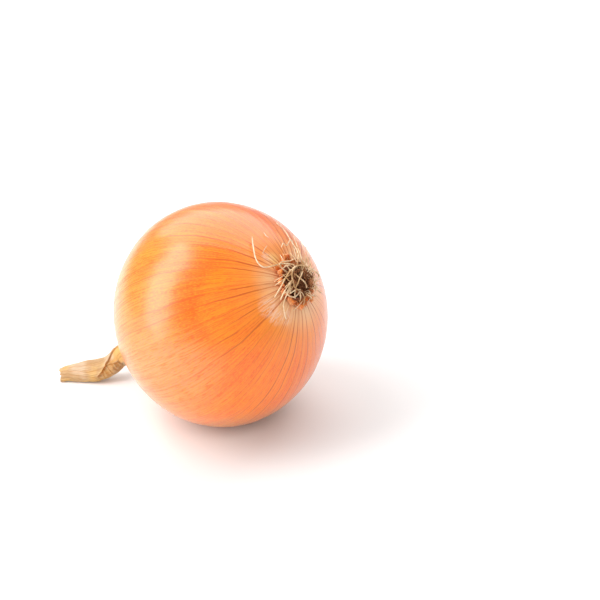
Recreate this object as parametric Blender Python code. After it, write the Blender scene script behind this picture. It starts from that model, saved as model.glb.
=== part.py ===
"""A brown onion that lies on its side, resting on a small flat spot of the bulb.

Metres, +Z up, with the origin at the middle of the flat spot. The root end points to +X and up,
and the withered neck runs down to -X and lies along the surface.
Three solids: the bulb in its papery skin, the withered neck, and the root plate with its dry roots.
"""

import math
import random

import bmesh
import bpy
from mathutils import Matrix, Vector, noise

# Bulb: its equator, and its length from the equator to each end
BULB_RADIUS = 0.0377
ROOT_LENGTH = 0.0354
CROWN_LENGTH = 0.0344
EQUATOR_SHEAR = (-0.012, -0.031)
CENTRE = Vector((-0.0025, -0.0003, 0.0364))
ROOT_TILT = math.radians(33.8)

# Root end and shoulder
SCAR_RADIUS = 0.0062
SHOULDER_LATITUDE = math.radians(50)
NECK_END_RADIUS = 0.0044
NECK_END_HEIGHT = 0.0428
FLARE_START_PULL = 0.0130
FLARE_END_PULL = 0.0060

# Skin veins, one crest and one furrow each
VEIN_COUNT = 44
VEIN_JITTER = 0.26
VEIN_RELIEF = 0.00016
VEIN_SEED = 7
BODY_ROWS = 25
FLARE_ROWS = 9

# Torn skin round the root scar
FLAKE_COUNT = 15
FLAKE_THICKNESS = 0.0006
FLAKE_SEED = 21

# Root plate and dry roots
JOINT_GAP = 0.0003
PLATE_RADIUS = 0.0052
PLATE_HEIGHT = 0.0030
PLATE_LUMP = 0.0005
PLATE_SIDES = 20
ROOT_FIBRE_RADIUS = 0.00031
SHORT_ROOT_COUNT = 30
ROOT_SEED = 5

# Long roots, each a route of (degrees round the axis, mm from the axis, mm above the skin)
LONG_ROOTS = (
    ((75, 5, 4.2), (60, 8.5, 3.2), (46, 13, 1.4), (55, 16, 1.2), (78, 19.5, 1.4)),
    ((55, 5, 4.6), (85, 4, 5.2), (150, 3.5, 5.4), (196, 7.2, 4.6), (225, 4, 4.2)),
    ((100, 5, 4.2), (128, 9, 2.8), (131, 14, 1.3), (127, 19, 1.2), (121, 21.5, 1.5)),
    ((120, 4, 4.2), (134, 8.5, 3.0), (139, 14, 1.4), (139, 18.5, 1.2)),
    ((166, 5, 4.0), (162, 10.5, 2.5), (158, 19, 1.3)),
    ((60, 4.8, 4.6), (35, 5.5, 4.8), (-2, 5.6, 4.4), (-24, 4.6, 3.8)),
    ((50, 5.5, 4.6), (30, 7, 4.4), (12, 9.5, 3.8), (0, 12.3, 2.2)),
    ((100, 2, 4.4), (20, 3, 5.4), (-8, 5.6, 4.4)),
    ((40, 4, 4.4), (-20, 2, 5.2), (-80, 3, 3.8)),
    ((10, 6, 4.2), (-5, 9, 4.0), (-22, 7.6, 4.2), (-32, 4.9, 3.6)),
    ((0, 7, 4.0), (-14, 10.5, 2.7), (-24, 11.6, 1.6), (-37, 13.6, 1.2)),
    ((15, 6, 4.6), (0, 9.6, 3.9), (-8, 11.2, 2.6)),
)

# Withered neck beyond its straight start: (x, y, z) along its middle
NECK_STRAIGHT = 0.0030
NECK_PATH = (
    (-0.0454, -0.0010, 0.0081),
    (-0.0482, -0.0038, 0.0052),
    (-0.0514, -0.0067, 0.0038),
    (-0.0558, -0.0096, 0.0031),
    (-0.0601, -0.0125, 0.0026),
    (-0.0625, -0.0143, 0.0020),
)
# Half width, half thickness and twist in degrees, from the bulb's end of the neck to its tip
NECK_SIZES = (
    (0.0043, 0.0043, 0),
    (0.0040, 0.0039, -4),
    (0.0037, 0.0034, -12),
    (0.0038, 0.0030, -26),
    (0.0041, 0.0024, -38),
    (0.0037, 0.0020, -42),
    (0.0029, 0.0015, -42),
    (0.0025, 0.0012, -38),
)
NECK_ROWS = 26
NECK_PLEATS = 13
NECK_PLEAT_DEPTH = 0.00025
NECK_FRAY = 0.0008

# Free edge of the outermost leaf sheath: (share of the neck's length, degrees round it)
SHEATH_EDGE = ((0.22, 72), (0.32, 82), (0.42, 96), (0.49, 108), (0.54, 122), (0.58, 136))
SHEATH_THICKNESS = 0.0006
SHEATH_RISE = 0.0009
SHEATH_FOOT = 0.0007
SHEATH_STATIONS = 14


def clear_scene():
    for obj in list(bpy.data.objects):
        bpy.data.objects.remove(obj, do_unlink=True)


def make_material(name, colour, roughness):
    material = bpy.data.materials.new(name)
    material.use_nodes = True
    shader = material.node_tree.nodes["Principled BSDF"]
    shader.inputs["Base Color"].default_value = (*colour, 1.0)
    shader.inputs["Roughness"].default_value = roughness
    shader.inputs["Metallic"].default_value = 0.0
    return material


def add_object(name, bm, material=None):
    bmesh.ops.recalc_face_normals(bm, faces=bm.faces)
    mesh = bpy.data.meshes.new(name)
    bm.to_mesh(mesh)
    bm.free()
    if material:
        mesh.materials.append(material)
    obj = bpy.data.objects.new(name, mesh)
    bpy.context.scene.collection.objects.link(obj)
    return obj


def smooth_step(x):
    x = min(1.0, max(0.0, x))
    return x * x * (3.0 - 2.0 * x)


def along(points, share):
    """The point at this share, 0 to 1, of a smooth curve through the points."""
    place = share * (len(points) - 1)
    k = min(max(int(place), 0), len(points) - 2)
    f = place - k
    p1 = Vector(points[k])
    p2 = Vector(points[k + 1])
    p0 = Vector(points[k - 1]) if k else 2 * p1 - p2
    p3 = Vector(points[k + 2]) if k + 2 < len(points) else 2 * p2 - p1
    bend = 3 * (p1 - p2) + p3 - p0
    return p1 + 0.5 * f * ((p2 - p0) + f * ((2 * p0 - 5 * p1 + 4 * p2 - p3) + f * bend))


def joined_rings(bm, rings):
    """Faces between each ring of vertices and the next."""
    for lower, upper in zip(rings, rings[1:]):
        count = len(lower)
        for i in range(count):
            j = (i + 1) % count
            bm.faces.new((lower[i], lower[j], upper[j], upper[i]))


def fuse(obj, repeats, solver="EXACT"):
    """Joins the repeats to obj as one body, and removes them."""
    group = bpy.data.collections.new("repeats")
    bpy.context.scene.collection.children.link(group)
    for piece in repeats:
        bpy.context.scene.collection.objects.unlink(piece)
        group.objects.link(piece)
    union = obj.modifiers.new("Union", "BOOLEAN")
    union.operation = "UNION"
    union.operand_type = "COLLECTION"
    union.collection = group
    union.solver = solver
    graph = bpy.context.evaluated_depsgraph_get()
    fused = bpy.data.meshes.new_from_object(obj.evaluated_get(graph))
    obj.modifiers.clear()
    obj.data = fused
    for piece in repeats:
        bpy.data.objects.remove(piece, do_unlink=True)
    bpy.data.collections.remove(group)


# The bulb's own frame has +Z along its axis to the neck, and its origin at the equator.
POSE = Matrix.Translation(CENTRE) @ Matrix(
    (
        (0.0, -math.sin(ROOT_TILT), -math.cos(ROOT_TILT), 0.0),
        (-1.0, 0.0, 0.0, 0.0),
        (0.0, math.cos(ROOT_TILT), -math.sin(ROOT_TILT), 0.0),
        (0.0, 0.0, 0.0, 1.0),
    )
)


def in_place(x, y, z):
    return POSE @ Vector((x, y, z + EQUATOR_SHEAR[0] * x + EQUATOR_SHEAR[1] * y))


def body_profile(latitude):
    """(radius, height) of the round body, with the latitude running from the root to the crown."""
    length = ROOT_LENGTH if latitude < 0 else CROWN_LENGTH
    return BULB_RADIUS * math.cos(latitude), length * math.sin(latitude)


def flare_profile(share):
    """(radius, height) of the concave flare from the shoulder to the neck's end."""
    start = Vector(body_profile(SHOULDER_LATITUDE))
    slope = Vector(
        (
            -BULB_RADIUS * math.sin(SHOULDER_LATITUDE),
            CROWN_LENGTH * math.cos(SHOULDER_LATITUDE),
        )
    ).normalized()
    end = Vector((NECK_END_RADIUS, NECK_END_HEIGHT))
    p1 = start + slope * FLARE_START_PULL
    p2 = end - Vector((-0.16, 1.0)).normalized() * FLARE_END_PULL
    rest = 1 - share
    return (
        rest**3 * start
        + 3 * rest**2 * share * p1
        + 3 * rest * share**2 * p2
        + share**3 * end
    )


def skin_profile():
    """(radius, height) of each ring from the root scar to the neck's end."""
    scar_latitude = -math.acos(SCAR_RADIUS / BULB_RADIUS)
    rings = []
    for row in range(BODY_ROWS):
        step = (SHOULDER_LATITUDE - scar_latitude) / BODY_ROWS
        rings.append(body_profile(scar_latitude + row * step))
    for row in range(FLARE_ROWS + 1):
        rings.append(flare_profile(row / FLARE_ROWS))
    return rings


def vein_angles():
    draw = random.Random(VEIN_SEED)
    pitch = 2 * math.pi / VEIN_COUNT
    return [
        (k + draw.uniform(-VEIN_JITTER, VEIN_JITTER)) * pitch for k in range(VEIN_COUNT)
    ]


def column_angles():
    """The angle and the relief of every column of the skin: a crest on each vein, a furrow between."""
    veins = vein_angles()
    columns = []
    for k, vein in enumerate(veins):
        following = veins[k + 1] if k + 1 < VEIN_COUNT else veins[0] + 2 * math.pi
        columns.append((vein, VEIN_RELIEF))
        columns.append(((vein + following) / 2, 0.0))
    return columns


def skin_mesh():
    bm = bmesh.new()
    columns = column_angles()
    rings = []
    profile = skin_profile()
    for row, (radius, height) in enumerate(profile):
        fade = smooth_step(row / 4) * smooth_step((len(profile) - 1 - row) / 4)
        ring = []
        for angle, relief in columns:
            reach = radius + relief * fade
            ring.append(
                bm.verts.new(
                    in_place(reach * math.cos(angle), reach * math.sin(angle), height)
                )
            )
        rings.append(ring)
    joined_rings(bm, rings)
    bm.faces.new(reversed(rings[0]))
    bm.faces.new(rings[-1])
    return bm


def cut_rest_spot(bm):
    """Cuts the bulb flat where it rests, in the plane of the surface under it."""
    everything = bm.verts[:] + bm.edges[:] + bm.faces[:]
    cut = bmesh.ops.bisect_plane(
        bm,
        geom=everything,
        plane_co=(0, 0, 0),
        plane_no=(0, 0, -1),
        clear_outer=True,
    )
    rim = [e for e in cut["geom_cut"] if isinstance(e, bmesh.types.BMEdge)]
    bmesh.ops.contextual_create(bm, geom=rim)


def over_skin(angle, radius, lift):
    """The point this far above the skin of the root end, at this angle and distance from the axis."""
    height = -ROOT_LENGTH * math.sqrt(1 - (radius / BULB_RADIUS) ** 2)
    normal = Vector((radius / BULB_RADIUS**2, height / ROOT_LENGTH**2)).normalized()
    reach = radius + lift * normal.x
    return in_place(
        reach * math.cos(angle), reach * math.sin(angle), height + lift * normal.y
    )


def torn_flake(draw, angle):
    """A scrap of torn skin beside the root scar, curling outwards, sunk into the skin at its foot."""
    bm = bmesh.new()
    columns = 4
    half_width = draw.uniform(0.16, 0.30)
    foot = draw.uniform(0.0066, 0.0078)
    run = draw.uniform(0.0014, 0.0030)
    rise = draw.uniform(0.0006, 0.0013)
    outer, inner = [], []
    for i in range(columns):
        side = -1 + 2 * i / (columns - 1)
        turn = angle + half_width * side
        tip = draw.uniform(0.45, 1.0) * (1 - 0.35 * abs(side))
        outer.append(
            [
                over_skin(turn, foot, -0.0009),
                over_skin(turn, foot + 0.35 * run * tip, rise * tip),
                over_skin(turn, foot + run * tip, rise * tip * 0.9),
            ]
        )
        inner.append(
            [
                over_skin(turn, foot - FLAKE_THICKNESS, -0.0009),
                over_skin(turn, foot + 0.2 * run * tip, rise * tip + FLAKE_THICKNESS),
                over_skin(
                    turn, foot + run * tip, rise * tip * 0.9 + FLAKE_THICKNESS
                ),
            ]
        )
    faces = [[[bm.verts.new(p) for p in row] for row in side] for side in (outer, inner)]
    rows = len(outer[0])
    for i in range(columns - 1):
        for k in range(rows - 1):
            o, n = faces
            bm.faces.new((o[i][k], o[i + 1][k], o[i + 1][k + 1], o[i][k + 1]))
            bm.faces.new((n[i][k], n[i][k + 1], n[i + 1][k + 1], n[i + 1][k]))
    rim = [(i, 0) for i in range(columns)]
    rim += [(columns - 1, k) for k in range(1, rows)]
    rim += [(i, rows - 1) for i in range(columns - 2, -1, -1)]
    rim += [(0, k) for k in range(rows - 2, 0, -1)]
    for (i, k), (m, n) in zip(rim, rim[1:] + rim[:1]):
        bm.faces.new((faces[0][i][k], faces[0][m][n], faces[1][m][n], faces[1][i][k]))
    return add_object("flake", bm)


def make_bulb(material):
    bm = skin_mesh()
    cut_rest_spot(bm)
    bulb = add_object("bulb", bm, material)
    draw = random.Random(FLAKE_SEED)
    flakes = []
    for k in range(FLAKE_COUNT):
        angle = 2 * math.pi * (k + draw.uniform(-0.2, 0.2)) / FLAKE_COUNT
        flakes.append(torn_flake(draw, angle))
    fuse(bulb, flakes)
    return bulb


def neck_path():
    """The neck's middle: straight out of the bulb at first, then down on to the surface."""
    slant = Vector((-EQUATOR_SHEAR[0], -EQUATOR_SHEAR[1], 1.0))
    axis = (POSE.to_3x3() @ slant).normalized()
    start = in_place(0, 0, NECK_END_HEIGHT) + axis * JOINT_GAP
    return [start, start + axis * NECK_STRAIGHT, *NECK_PATH]


def neck_section(share):
    """The neck's centre, direction, side and upward vectors, half width and half thickness."""
    path = neck_path()
    centre = along(path, share)
    ahead = along(path, share + 0.01) - along(path, share - 0.01)
    ahead.normalize()
    side = ahead.cross(Vector((0, 0, 1))).normalized()
    width, thickness, twist = along(NECK_SIZES, share)
    turn = Matrix.Rotation(math.radians(twist), 3, ahead)
    return centre, ahead, turn @ side, turn @ side.cross(ahead), width, thickness


def neck_point(share, angle, lift=0.0):
    """A point this far above the plain skin of the neck, and not under the surface below it."""
    centre, _, side, up, width, thickness = neck_section(share)
    spot = (
        centre
        + side * (width + lift) * math.cos(angle)
        + up * (thickness + lift) * math.sin(angle)
    )
    spot.z = max(spot.z, 0.0)
    return spot


def neck_mesh():
    bm = bmesh.new()
    rings = []
    count = 2 * NECK_PLEATS
    for row in range(NECK_ROWS + 1):
        share = row / NECK_ROWS
        depth = NECK_PLEAT_DEPTH * smooth_step(share * 4) * (1 - 0.5 * share)
        ring = []
        for i in range(count):
            angle = 2 * math.pi * i / count
            lift = depth if i % 2 else -depth
            ring.append(bm.verts.new(neck_point(share, angle, lift)))
        rings.append(ring)
    centre, ahead = neck_section(1.0)[:2]
    for i, vertex in enumerate(rings[-1]):
        fray = noise.noise(Vector((i * 0.7, 3.1, 0.0))) * NECK_FRAY
        vertex.co += Vector((ahead.x, ahead.y, 0.0)) * fray
    joined_rings(bm, rings)
    bm.faces.new(reversed(rings[0]))
    tip = bm.verts.new(centre)
    for i in range(count):
        bm.faces.new((rings[-1][i], rings[-1][(i + 1) % count], tip))
    return bm


def sheath_edge():
    """The free edge of the outermost leaf sheath, which winds down across the neck."""
    bm = bmesh.new()
    strip = []
    for k in range(SHEATH_STATIONS):
        share = k / (SHEATH_STATIONS - 1)
        place, degrees = along([(p, d, 0) for p, d in SHEATH_EDGE], share)[:2]
        angle = math.radians(degrees)
        half = SHEATH_THICKNESS / 2 / NECK_SIZES[2][0]
        rise = SHEATH_RISE * (0.4 + 0.6 * smooth_step(share * 3))
        strip.append(
            [
                bm.verts.new(neck_point(place, angle - half, -SHEATH_FOOT)),
                bm.verts.new(neck_point(place, angle + half, -SHEATH_FOOT)),
                bm.verts.new(neck_point(place, angle + half, rise)),
                bm.verts.new(neck_point(place, angle - half, rise)),
            ]
        )
    joined_rings(bm, strip)
    bm.faces.new(reversed(strip[0]))
    bm.faces.new(strip[-1])
    return add_object("sheath", bm)


def make_neck(material):
    neck = add_object("neck", neck_mesh(), material)
    fuse(neck, [sheath_edge()])
    return neck


def root_fibre(points, radius, sides=4, steps_each=2):
    """A dry root: a thin tapering tube through these points."""
    bm = bmesh.new()
    steps = steps_each * (len(points) - 1)
    rings = []
    normal = None
    for k in range(steps + 1):
        share = k / steps
        centre = along(points, share)
        ahead = along(points, share + 0.02) - along(points, share - 0.02)
        ahead.normalize()
        if normal is None:
            normal = ahead.orthogonal().normalized()
        normal = (normal - ahead * normal.dot(ahead)).normalized()
        across = ahead.cross(normal)
        width = radius * (1.0 - 0.35 * share)
        ring = []
        for i in range(sides):
            turn = 2 * math.pi * i / sides
            ring.append(
                bm.verts.new(
                    centre + (normal * math.cos(turn) + across * math.sin(turn)) * width
                )
            )
        rings.append(ring)
    joined_rings(bm, rings)
    bm.faces.new(reversed(rings[0]))
    bm.faces.new(rings[-1])
    return add_object("fibre", bm)


def plate_mesh():
    """The corky root plate, a lumpy dome on the root scar."""
    bm = bmesh.new()
    profile = ((0.0, 1.0), (0.25, 0.98), (0.55, 0.86), (0.8, 0.6), (0.97, 0.2))
    rings = []
    for height_share, radius_share in profile:
        ring = []
        for i in range(PLATE_SIDES):
            angle = 2 * math.pi * i / PLATE_SIDES
            lump = noise.noise(Vector((i * 0.9, height_share * 4, 1.5))) * PLATE_LUMP
            lump *= smooth_step(height_share * 4)
            radius = PLATE_RADIUS * radius_share + lump
            lift = JOINT_GAP + PLATE_HEIGHT * height_share
            spot = in_place(
                radius * math.cos(angle),
                radius * math.sin(angle),
                body_profile(-math.acos(SCAR_RADIUS / BULB_RADIUS))[1] - lift,
            )
            ring.append(bm.verts.new(spot))
        rings.append(ring)
    joined_rings(bm, rings)
    bm.faces.new(reversed(rings[0]))
    bm.faces.new(rings[-1])
    return bm


def make_root_tuft(material):
    tuft = add_object("root_tuft", plate_mesh(), material)
    fibres = []
    for route in LONG_ROOTS:
        first = route[0]
        points = [over_skin(math.radians(first[0]), 0.5 * first[1] / 1000, 0.0015)]
        points += [over_skin(math.radians(a), r / 1000, h / 1000) for a, r, h in route]
        fibres.append(root_fibre(points, ROOT_FIBRE_RADIUS))
    draw = random.Random(ROOT_SEED)
    for k in range(SHORT_ROOT_COUNT):
        angle = 2.399963 * k
        reach = PLATE_RADIUS * math.sqrt((k + 0.5) / SHORT_ROOT_COUNT)
        lean = draw.uniform(0.0012, 0.0038)
        turn = angle + draw.uniform(-0.6, 0.6)
        points = [
            over_skin(angle, reach * 0.6, 0.0012),
            over_skin(angle, reach * 0.9, 0.0034),
            over_skin(turn, reach * 0.9 + lean, 0.0040 + draw.uniform(-0.0006, 0.0010)),
        ]
        fibres.append(root_fibre(points, ROOT_FIBRE_RADIUS, sides=3))
    fuse(tuft, fibres, solver="MANIFOLD")
    return tuft


def main():
    clear_scene()
    make_bulb(make_material("onion_skin", (0.86, 0.42, 0.16), 0.38))
    make_neck(make_material("withered_leaf", (0.76, 0.54, 0.28), 0.75))
    make_root_tuft(make_material("dry_root", (0.42, 0.29, 0.17), 0.85))


main()
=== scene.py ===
"""Looks of a brown onion that lies on its side: papery skin, withered neck, root plate and dry roots.

Metres, in the part's own frame: +Z up, the root end to +X and up, the neck down to -X.
"""

import math
import random

import bpy
import numpy as np
from mathutils import Matrix, Vector, noise


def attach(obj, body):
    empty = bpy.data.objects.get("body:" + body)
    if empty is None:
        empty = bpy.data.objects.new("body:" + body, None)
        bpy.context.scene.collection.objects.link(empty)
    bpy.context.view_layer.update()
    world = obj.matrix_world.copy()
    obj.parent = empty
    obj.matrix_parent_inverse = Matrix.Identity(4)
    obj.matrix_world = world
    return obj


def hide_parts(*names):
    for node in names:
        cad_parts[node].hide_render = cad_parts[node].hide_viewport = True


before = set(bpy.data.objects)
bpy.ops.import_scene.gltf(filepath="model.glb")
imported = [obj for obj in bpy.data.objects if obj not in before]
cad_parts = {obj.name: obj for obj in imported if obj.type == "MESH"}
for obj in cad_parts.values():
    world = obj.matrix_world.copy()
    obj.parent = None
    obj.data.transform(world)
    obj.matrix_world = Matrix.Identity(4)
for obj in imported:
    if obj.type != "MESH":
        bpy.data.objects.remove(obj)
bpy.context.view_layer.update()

# Camera: the picture's size, the bulb's middle in it and the size of a pixel there
FRAME_PIXELS = 600
BULB_PIXEL = (220.8, 314.4)
PIXEL_SIZE = 0.000336
CAMERA_AZIMUTH = math.radians(31.5)
CAMERA_ELEVATION = math.radians(27.0)
LENS = 100.0
SENSOR = 36.0

# Bulb, as in the part
BULB_RADIUS = 0.0377
ROOT_LENGTH = 0.0354
CROWN_LENGTH = 0.0344
EQUATOR_SHEAR = (-0.012, -0.031)
CENTRE = Vector((-0.0025, -0.0003, 0.0364))
ROOT_TILT = math.radians(33.8)
SCAR_RADIUS = 0.0062
SHOULDER_LATITUDE = math.radians(50)
NECK_END_RADIUS = 0.0044
NECK_END_HEIGHT = 0.0428
FLARE_START_PULL = 0.0130
FLARE_END_PULL = 0.0060
VEIN_COUNT = 44
VEIN_JITTER = 0.26
VEIN_SEED = 7

# Fine skin: the relief of its veins and its slow lumps, and the rows and columns of its mesh
VEIN_RELIEF = 0.00005
SKIN_LUMP = 0.00016
COLUMNS_PER_VEIN = 10
BODY_ROWS = 164
FLARE_ROWS = 60

# Colour spots on the root half of the skin: degrees round the axis, mm from it, and size in mm
RED_SPOTS = ((12, 32.6, 8.0), (36, 30.2, 7.0), (24, 31.4, 8.0))
YELLOW_SPOT = (6, 20.0, 15.5)
CREAM_SPOT = (74, 10.0, 3.2)
# The pale spot is painted light: the lower left goes paler and pinker where the white floor lights it
FLOOR_LIGHT_SPOT = (-9, 37.4, 19.0)
ORANGE_SPOT = (86, 13.0, 8.5)
FILM_SPOTS = (
    (-7, 14.6, 3.4),
    (-23, 14.3, 2.8),
    (-40, 12.5, 2.4),
    (68, 12.4, 2.2),
    (200, 14.0, 2.6),
)

# Torn skin round the root scar. Large flakes: degrees round the axis, half width in radians,
# length and rise in mm
SMALL_FLAKES = 30
BIG_FLAKES = (
    (46, 0.24, 2.6, 2.0),
    (22, 0.26, 3.2, 2.3),
    (-4, 0.24, 3.4, 2.0),
    (-30, 0.28, 3.6, 2.2),
    (-62, 0.30, 3.6, 2.0),
    (84, 0.24, 2.4, 1.6),
)
BIG_FLAKE_FOOT = 0.0062
BIG_FLAKE_CURL = 0.9
FLAKE_ROWS = 9
FLAKE_COLUMNS = 11
FLAKE_THICKNESS = 0.00012
FLAKE_SEED = 31

# Root plate, as in the part
JOINT_GAP = 0.0003
PLATE_RADIUS = 0.0052
PLATE_HEIGHT = 0.0030

# Short roots round the plate's rim and fibres over it, spread by the golden angle, and the
# seeds of their random draws and of the noise that crooks every root and fibre
GOLDEN_ANGLE = 2.399963
RIM_ROOTS = 26
RIM_ROOT_SEED = 11
PLATE_FIBRES = 90
PLATE_FIBRE_SEED = 5
CROOK_SEED = 4

# Long roots: half thickness in mm and the route, each point in degrees round the axis, mm from it
# and mm above the skin
LONG_ROOTS = (
    (0.26, ((75, 5, 4.2), (60, 8.5, 3.2), (46, 13, 1.4), (55, 16, 1.2), (78, 19.5, 1.4))),
    (0.29, ((55, 5, 4.6), (85, 4, 5.2), (150, 3.5, 5.4), (196, 7.2, 4.6), (225, 4, 4.2))),
    (0.24, ((100, 5, 4.2), (128, 9, 2.8), (131, 14, 1.3), (127, 19, 1.2), (121, 21.5, 1.5))),
    (0.20, ((120, 4, 4.2), (134, 8.5, 3.0), (139, 14, 1.4), (139, 18.5, 1.2))),
    (0.18, ((166, 5, 4.0), (162, 10.5, 2.5), (158, 19, 1.3))),
    (0.29, ((60, 4.8, 4.6), (35, 5.5, 4.8), (-2, 5.6, 4.4), (-24, 4.6, 3.8))),
    (0.30, ((50, 5.5, 4.6), (30, 7, 4.4), (12, 9.5, 3.8), (0, 12.3, 2.2))),
    (0.28, ((100, 2, 4.4), (20, 3, 5.4), (-8, 5.6, 4.4))),
    (0.26, ((40, 4, 4.4), (-20, 2, 5.2), (-80, 3, 3.8))),
    (0.26, ((10, 6, 4.2), (-5, 9, 4.0), (-22, 7.6, 4.2), (-32, 4.9, 3.6))),
    (0.23, ((0, 7, 4.0), (-14, 10.5, 2.7), (-24, 11.6, 1.6), (-37, 13.6, 1.2))),
    (0.27, ((15, 6, 4.6), (0, 9.6, 3.9), (-8, 11.2, 2.6))),
    (0.19, ((131, 15, 1.3), (112, 11.8, 2.0), (104, 12.4, 2.5), (95, 11.4, 2.4))),
    (0.24, ((127, 3.8, 4.5), (132, 6.4, 3.5), (133, 8.8, 3.0))),
    (0.27, ((-8, 7.9, 4.0), (-13, 5.8, 4.4), (-33, 4, 4.0))),
    (0.24, ((55, 8.7, 3.0), (63, 8.6, 3.5), (75, 6.9, 4.0), (104, 6.3, 4.0))),
)

# Hairs that lie loose on the skin, their routes given the same way
HAIR_RADIUS = 0.00011
LOOSE_HAIRS = (
    ((98, 18.7, 0.3), (96, 17.3, 0.5), (97, 16.4, 0.6)),
    ((83, 14.6, 0.8), (75, 14.5, 0.5), (68, 14.3, 0.3)),
    ((155, 23.5, 0.9), (153, 16.5, 1.1), (165, 11.3, 1.2)),
)

# Withered neck, as in the part: points along its middle, then half width, half thickness and
# twist in degrees from the bulb's end to the tip, and the free edge of its outermost sheath as
# (share of the neck's length, degrees round it)
NECK_STRAIGHT = 0.0030
NECK_PATH = (
    (-0.0454, -0.0010, 0.0081),
    (-0.0482, -0.0038, 0.0052),
    (-0.0514, -0.0067, 0.0038),
    (-0.0558, -0.0096, 0.0031),
    (-0.0601, -0.0125, 0.0026),
    (-0.0625, -0.0143, 0.0020),
)
NECK_SIZES = (
    (0.0043, 0.0043, 0),
    (0.0040, 0.0039, -4),
    (0.0037, 0.0034, -12),
    (0.0038, 0.0030, -26),
    (0.0041, 0.0024, -38),
    (0.0037, 0.0020, -42),
    (0.0029, 0.0015, -42),
    (0.0025, 0.0012, -38),
)
SHEATH_EDGE = ((0.22, 72), (0.32, 82), (0.42, 96), (0.49, 108), (0.54, 122), (0.58, 136))

# The neck's inner fold, given as the sheath's edge is, then its mesh and its phase's seed, how
# far its small forms rise or sink, and the rings and depth of its hollow tip
INNER_FOLD = ((0.44, 104), (0.40, 116), (0.33, 140), (0.28, 162))
NECK_ROWS = 200
NECK_COLUMNS = 240
NECK_SEED = 3
PLEAT_DEPTH = 0.00055
FLAP_RISE = 0.00062
LIP_RISE = 0.00034
FOLD_RISE = 0.00030
RUCK_DEPTH = 0.00020
NECK_LUMP = 0.00022
NECK_FRAY = 0.0011
NECK_CLEARANCE = 0.00005
TIP_RINGS = 12
TIP_STEP = 0.00022

# Floor, from its middle to each side
FLOOR_REACH = 8.0

# Skin tones, as linear red, green and blue: the body, the root end, the dry flare and the lines
BODY_ORANGE = (0.92, 0.175, 0.001)
BODY_YELLOW = (0.95, 0.25, 0.004)
STREAK_TONE = (0.85, 0.098, 0.001)
RED_TONE = (0.84, 0.095, 0.002)
YELLOW_TONE = (0.95, 0.26, 0.003)
BAND_TONE = (0.97, 0.38, 0.03)
CROWN_TONE = (0.97, 0.31, 0.09)
# Painted light: a pale salmon for the lower left, where the white floor lights it
FLOOR_LIGHT_SALMON_TONE = (0.97, 0.295, 0.165)
# Painted shade: a dark tan for the skin just above the floor, where the bulb rests
FLOOR_SHADE_TONE = (0.50, 0.27, 0.055)
GRAIN_TONE = (0.97, 0.30, 0.010)
GLOW_TONE = (0.96, 0.43, 0.09)
DARK_TAN = (0.90, 0.57, 0.31)
LIGHT_TAN = (0.97, 0.70, 0.38)
CREAM_TONE = (0.96, 0.62, 0.22)
# Painted shade for the gap under the torn skin and round the root plate
SCAR_GAP_SHADE_TONE = (0.24, 0.045, 0.010)
FLARE_TONE = (0.68, 0.40, 0.16)
FIBRE_TONE = (0.80, 0.080, 0.003)
DASH_TONE = (0.80, 0.095, 0.003)
THIN_VEIN_TONE = (0.68, 0.115, 0.006)
VEIN_TONE = (0.54, 0.074, 0.003)
FILM_TONE = (0.95, 0.66, 0.50)

# Torn skin tones
FLAKE_RED = (0.68, 0.12, 0.012)
FLAKE_ORANGE = (0.90, 0.29, 0.055)
FLAKE_EDGE_TONE = (0.93, 0.50, 0.24)
FLAKE_RIB_TONE = (0.33, 0.060, 0.015)

# Neck tones
LEAF_OCHRE = (0.42, 0.265, 0.115)
LEAF_STRAW = (0.51, 0.35, 0.185)
INNER_LEAF_TONE = (0.60, 0.32, 0.07)
LEAF_FIBRE_TONE = (0.30, 0.14, 0.04)
LEAF_HAIR_TONE = (0.34, 0.17, 0.055)
GOLDEN_TONE = (0.60, 0.385, 0.125)
BLEACHED_TONE = (0.58, 0.46, 0.33)
# Painted shade for the creases, the folds and the neck's hollow tip
CREASE_SHADE_TONE = (0.42, 0.180, 0.026)

# Root plate and root tones
CORK_DARK = (0.022, 0.007, 0.003)
CORK_CRUMB = (0.48, 0.19, 0.080)
CORK_BROWN = (0.15, 0.05, 0.02)
PLATE_FIBRE_TONES = ((0.080, 0.022, 0.007), (0.46, 0.19, 0.080))
ROOT_TONES = ((0.50, 0.28, 0.12), (0.88, 0.66, 0.42))
FAR_ROOT_TONE = (0.88, 0.70, 0.50)
SPECK_TONE = (0.26, 0.14, 0.06)
FLOOR_TONES = ((0.80, 0.80, 0.80), (0.82, 0.82, 0.815))


# Small helpers


def smooth_step(x):
    x = np.clip(x, 0.0, 1.0)
    return x * x * (3.0 - 2.0 * x)


def along(points, share):
    """The point at this share, 0 to 1, of a smooth curve through the points."""
    place = share * (len(points) - 1)
    k = min(max(int(place), 0), len(points) - 2)
    f = place - k
    p1 = Vector(points[k])
    p2 = Vector(points[k + 1])
    p0 = Vector(points[k - 1]) if k else 2 * p1 - p2
    p3 = Vector(points[k + 2]) if k + 2 < len(points) else 2 * p2 - p1
    bend = 3 * (p1 - p2) + p3 - p0
    return p1 + 0.5 * f * ((p2 - p0) + f * ((2 * p0 - 5 * p1 + 4 * p2 - p3) + f * bend))


POSE = Matrix.Translation(CENTRE) @ Matrix(
    (
        (0.0, -math.sin(ROOT_TILT), -math.cos(ROOT_TILT), 0.0),
        (-1.0, 0.0, 0.0, 0.0),
        (0.0, math.cos(ROOT_TILT), -math.sin(ROOT_TILT), 0.0),
        (0.0, 0.0, 0.0, 1.0),
    )
)
POSE_ARRAY = np.array(POSE)


def in_place(x, y, z):
    return POSE @ Vector((x, y, z + EQUATOR_SHEAR[0] * x + EQUATOR_SHEAR[1] * y))


def all_in_place(points):
    """The same for an array of points."""
    local = points.copy()
    local[..., 2] += EQUATOR_SHEAR[0] * points[..., 0] + EQUATOR_SHEAR[1] * points[..., 1]
    return local @ POSE_ARRAY[:3, :3].T + POSE_ARRAY[:3, 3]


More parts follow.
